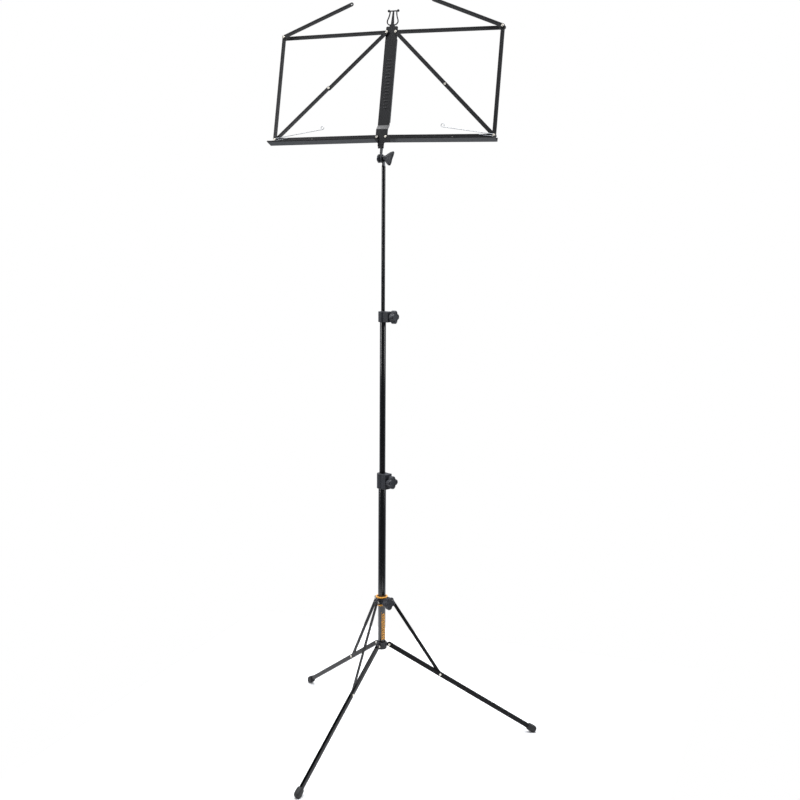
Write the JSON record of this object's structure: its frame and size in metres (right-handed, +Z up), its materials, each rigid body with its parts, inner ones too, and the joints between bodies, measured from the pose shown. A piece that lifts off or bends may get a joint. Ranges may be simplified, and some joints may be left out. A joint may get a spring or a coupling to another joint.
{
  "type": "music stand",
  "caption": "Folding tripod music stand with a sliding collar, telescopic mast, tilt head and folding open-frame desk with extension arms and page wires.",
  "frame": {"origin": "on the mast's axis at floor level", "axes": "+Z up along the mast; the desk faces the reader at -Y and leans back towards +Y; +X is to the reader's right"},
  "size_m": [0.583, 0.545, 1.5308],
  "materials": {
    "powder_black": "satin powder coat",
    "gloss_black": "gloss enamel",
    "black_plastic": "fine moulded texture",
    "amber_plastic": "smooth moulded",
    "nickel_steel": "nickel plated",
    "zinc_steel": "zinc plated",
    "black_rubber": "matt moulded",
    "wire_steel": "drawn wire"
  },
  "bodies": {
    "base": {"base_tube": "gloss_black", "leg_hub": "black_plastic", "hub_rivets": "nickel_steel", "lower_clamp": "black_plastic"},
    "collar": {"slide_collar": "black_plastic", "collar_rings": "amber_plastic", "collar_pins": "nickel_steel"},
    "leg_1": {"leg_1": "powder_black", "foot_1": "black_rubber", "leg_rivet_1": "nickel_steel"},
    "strut_1": {"strut_1": "powder_black"},
    "leg_2": {"leg_2": "powder_black", "foot_2": "black_rubber", "leg_rivet_2": "nickel_steel"},
    "strut_2": {"strut_2": "powder_black"},
    "leg_3": {"leg_3": "powder_black", "foot_3": "black_rubber", "leg_rivet_3": "nickel_steel"},
    "strut_3": {"strut_3": "powder_black"},
    "collar_knob": {"collar_knob": "black_plastic", "collar_screw": "zinc_steel"},
    "lower_knob": {"lower_knob": "black_plastic", "lower_screw": "zinc_steel"},
    "middle_carrier": {"middle_bush": "black_plastic"},
    "middle": {"middle_tube": "gloss_black", "upper_clamp": "black_plastic"},
    "upper_knob": {"upper_knob": "black_plastic", "upper_screw": "zinc_steel"},
    "rod_carrier": {"rod_bush": "black_plastic"},
    "rod": {"upper_rod": "gloss_black", "tilt_bolt": "zinc_steel", "tilt_washers": "black_plastic"},
    "wing_knob": {"tilt_wing_knob": "black_plastic"},
    "spine": {"spine_plate": "powder_black", "tilt_blade": "powder_black", "blade_rivets": "powder_black", "spine_rivets": "nickel_steel"},
    "right_lower_bar": {"right_lower_bar": "powder_black", "right_ledge": "powder_black", "right_lower_rivets": "nickel_steel"},
    "right_upper_bar": {"right_upper_bar": "powder_black", "right_top_rivet": "nickel_steel"},
    "right_side_bar": {"right_side_bar": "powder_black"},
    "right_upper_diagonal": {"right_upper_diagonal": "powder_black"},
    "right_lower_diagonal": {"right_lower_diagonal": "powder_black", "right_middle_rivet": "nickel_steel"},
    "right_extension_arm": {"right_extension_arm": "powder_black"},
    "right_page_wire": {"right_page_wire": "wire_steel"},
    "left_lower_bar": {"left_lower_bar": "powder_black", "left_ledge": "powder_black", "left_lower_rivets": "nickel_steel"},
    "left_upper_bar": {"left_upper_bar": "powder_black", "left_top_rivet": "nickel_steel"},
    "left_side_bar": {"left_side_bar": "powder_black"},
    "left_upper_diagonal": {"left_upper_diagonal": "powder_black"},
    "left_lower_diagonal": {"left_lower_diagonal": "powder_black", "left_middle_rivet": "nickel_steel"},
    "left_extension_arm": {"left_extension_arm": "powder_black"},
    "left_page_wire": {"left_page_wire": "wire_steel"}
  },
  "joints": [
    {"name": "collar_slide", "type": "slide", "parent": "base", "child": "collar", "axis": [0, 0, 1], "range_m": [0, 0.22631]},
    {"name": "leg_1_fold", "type": "hinge", "parent": "base", "child": "leg_1", "pos_m": [0.015, 0.00612, 0.20071], "axis": [0.3778, -0.9259, 0], "range_deg": [0, 115.85]},
    {"name": "strut_1_pivot", "type": "hinge", "parent": "leg_1", "child": "strut_1", "pos_m": [0.11643, 0.04751, 0.13279], "axis": [0.3778, -0.9259, 0], "range_deg": [-145.66, 0]},
    {"name": "leg_2_fold", "type": "hinge", "parent": "base", "child": "leg_2", "pos_m": [-0.0128, 0.00993, 0.20071], "axis": [0.6129, 0.7902, 0], "range_deg": [0, 115.85]},
    {"name": "strut_2_pivot", "type": "hinge", "parent": "leg_2", "child": "strut_2", "pos_m": [-0.09936, 0.07707, 0.13279], "axis": [0.6129, 0.7902, 0], "range_deg": [-145.66, 0]},
    {"name": "leg_3_fold", "type": "hinge", "parent": "base", "child": "leg_3", "pos_m": [-0.0022, -0.01605, 0.20071], "axis": [-0.9907, 0.1357, 0], "range_deg": [0, 115.85]},
    {"name": "strut_3_pivot", "type": "hinge", "parent": "leg_3", "child": "strut_3", "pos_m": [-0.01707, -0.12459, 0.13279], "axis": [-0.9907, 0.1357, 0], "range_deg": [-145.66, 0]},
    {"name": "collar_knob_turn", "type": "hinge", "parent": "collar", "child": "collar_knob", "pos_m": [0, 0, 0.29815], "axis": [0.7902, -0.6129, 0], "range_deg": [0, 540]},
    {"name": "lower_knob_turn", "type": "hinge", "parent": "base", "child": "lower_knob", "pos_m": [0, 0, 0.55661], "axis": [0.9272, -0.3746, 0], "range_deg": [0, 540]},
    {"name": "middle_slide", "type": "slide", "parent": "base", "child": "middle_carrier", "axis": [0, 0, 1], "range_m": [-0.3139, 0]},
    {"name": "middle_swivel", "type": "hinge", "parent": "middle_carrier", "child": "middle", "pos_m": [0, 0, 0.53131], "axis": [0, 0, 1], "continuous": true},
    {"name": "upper_knob_turn", "type": "hinge", "parent": "middle", "child": "upper_knob", "pos_m": [0, 0, 0.89841], "axis": [0.9877, -0.1564, 0], "range_deg": [0, 540]},
    {"name": "rod_slide", "type": "slide", "parent": "middle", "child": "rod_carrier", "axis": [0, 0, 1], "range_m": [-0.285, 0]},
    {"name": "rod_swivel", "type": "hinge", "parent": "rod_carrier", "child": "rod", "pos_m": [0, 0, 0.86831], "axis": [0, 0, 1], "continuous": true},
    {"name": "wing_knob_turn", "type": "hinge", "parent": "rod", "child": "wing_knob", "pos_m": [0, 0, 1.21491], "axis": [1, 0, 0], "range_deg": [0, 540]},
    {"name": "desk_tilt", "type": "hinge", "parent": "rod", "child": "spine", "pos_m": [0, 0, 1.21491], "axis": [-1, 0, 0], "range_deg": [-13, 77]},
    {"name": "right_fold", "type": "hinge", "parent": "spine", "child": "right_lower_bar", "pos_m": [0.00305, 0.00945, 1.25584], "axis": [0, -0.9744, 0.225], "range_deg": [0, 90.6]},
    {"name": "right_upper_bar_pivot", "type": "hinge", "parent": "spine", "child": "right_upper_bar", "pos_m": [0.00305, 0.05826, 1.46727], "axis": [0, -0.9744, 0.225], "range_deg": [0, 90.65]},
    {"name": "right_side_bar_pivot", "type": "hinge", "parent": "right_lower_bar", "child": "right_side_bar", "pos_m": [0.22804, 0.00892, 1.25354], "axis": [0, -0.9744, 0.225], "range_deg": [-90.65, 0]},
    {"name": "right_upper_diagonal_pivot", "type": "hinge", "parent": "spine", "child": "right_upper_diagonal", "pos_m": [0.00305, 0.05826, 1.46727], "axis": [0, -0.9744, 0.225], "range_deg": [0, 134.32]},
    {"name": "right_lower_diagonal_pivot", "type": "hinge", "parent": "right_lower_bar", "child": "right_lower_diagonal", "pos_m": [0.22804, 0.00892, 1.25354], "axis": [0, -0.9744, 0.225], "range_deg": [-136.38, 0]},
    {"name": "right_arm_swing", "type": "hinge", "parent": "right_upper_bar", "child": "right_extension_arm", "pos_m": [0.22804, 0.05773, 1.46498], "axis": [0, 0.9744, -0.225], "range_deg": [-22, 158]},
    {"name": "right_wire_swing", "type": "hinge", "parent": "right_lower_bar", "child": "right_page_wire", "pos_m": [0.22804, 0.00892, 1.25354], "axis": [0, -0.9744, 0.225], "range_deg": [-85, 12]},
    {"name": "left_fold", "type": "hinge", "parent": "spine", "child": "left_lower_bar", "pos_m": [-0.01605, 0.00945, 1.25584], "axis": [0, 0.9744, -0.225], "range_deg": [0, 90.6]},
    {"name": "left_upper_bar_pivot", "type": "hinge", "parent": "spine", "child": "left_upper_bar", "pos_m": [-0.01605, 0.05826, 1.46727], "axis": [0, 0.9744, -0.225], "range_deg": [0, 90.65]},
    {"name": "left_side_bar_pivot", "type": "hinge", "parent": "left_lower_bar", "child": "left_side_bar", "pos_m": [-0.24104, 0.00892, 1.25354], "axis": [0, 0.9744, -0.225], "range_deg": [-90.65, 0]},
    {"name": "left_upper_diagonal_pivot", "type": "hinge", "parent": "spine", "child": "left_upper_diagonal", "pos_m": [-0.01605, 0.05826, 1.46727], "axis": [0, 0.9744, -0.225], "range_deg": [0, 134.32]},
    {"name": "left_lower_diagonal_pivot", "type": "hinge", "parent": "left_lower_bar", "child": "left_lower_diagonal", "pos_m": [-0.24104, 0.00892, 1.25354], "axis": [0, 0.9744, -0.225], "range_deg": [-136.38, 0]},
    {"name": "left_arm_swing", "type": "hinge", "parent": "left_upper_bar", "child": "left_extension_arm", "pos_m": [-0.24104, 0.05773, 1.46498], "axis": [0, -0.9744, 0.225], "range_deg": [-22, 158]},
    {"name": "left_wire_swing", "type": "hinge", "parent": "left_lower_bar", "child": "left_page_wire", "pos_m": [-0.24104, 0.00892, 1.25354], "axis": [0, 0.9744, -0.225], "range_deg": [-85, 12]}
  ],
  "couplings": [
    {"joint": "leg_1_fold", "follows": "collar_slide", "rad_per_m": 8.9305},
    {"joint": "strut_1_pivot", "follows": "collar_slide", "rad_per_m": -11.23},
    {"joint": "leg_2_fold", "follows": "collar_slide", "rad_per_m": 8.9305},
    {"joint": "strut_2_pivot", "follows": "collar_slide", "rad_per_m": -11.23},
    {"joint": "leg_3_fold", "follows": "collar_slide", "rad_per_m": 8.9305},
    {"joint": "strut_3_pivot", "follows": "collar_slide", "rad_per_m": -11.23},
    {"joint": "right_upper_bar_pivot", "follows": "right_fold", "ratio": 1},
    {"joint": "right_side_bar_pivot", "follows": "right_fold", "ratio": -1},
    {"joint": "right_upper_diagonal_pivot", "follows": "right_fold", "ratio": 1.4821},
    {"joint": "right_lower_diagonal_pivot", "follows": "right_fold", "ratio": -1.5047},
    {"joint": "left_upper_bar_pivot", "follows": "left_fold", "ratio": 1},
    {"joint": "left_side_bar_pivot", "follows": "left_fold", "ratio": -1},
    {"joint": "left_upper_diagonal_pivot", "follows": "left_fold", "ratio": 1.4821},
    {"joint": "left_lower_diagonal_pivot", "follows": "left_fold", "ratio": -1.5047}
  ]
}
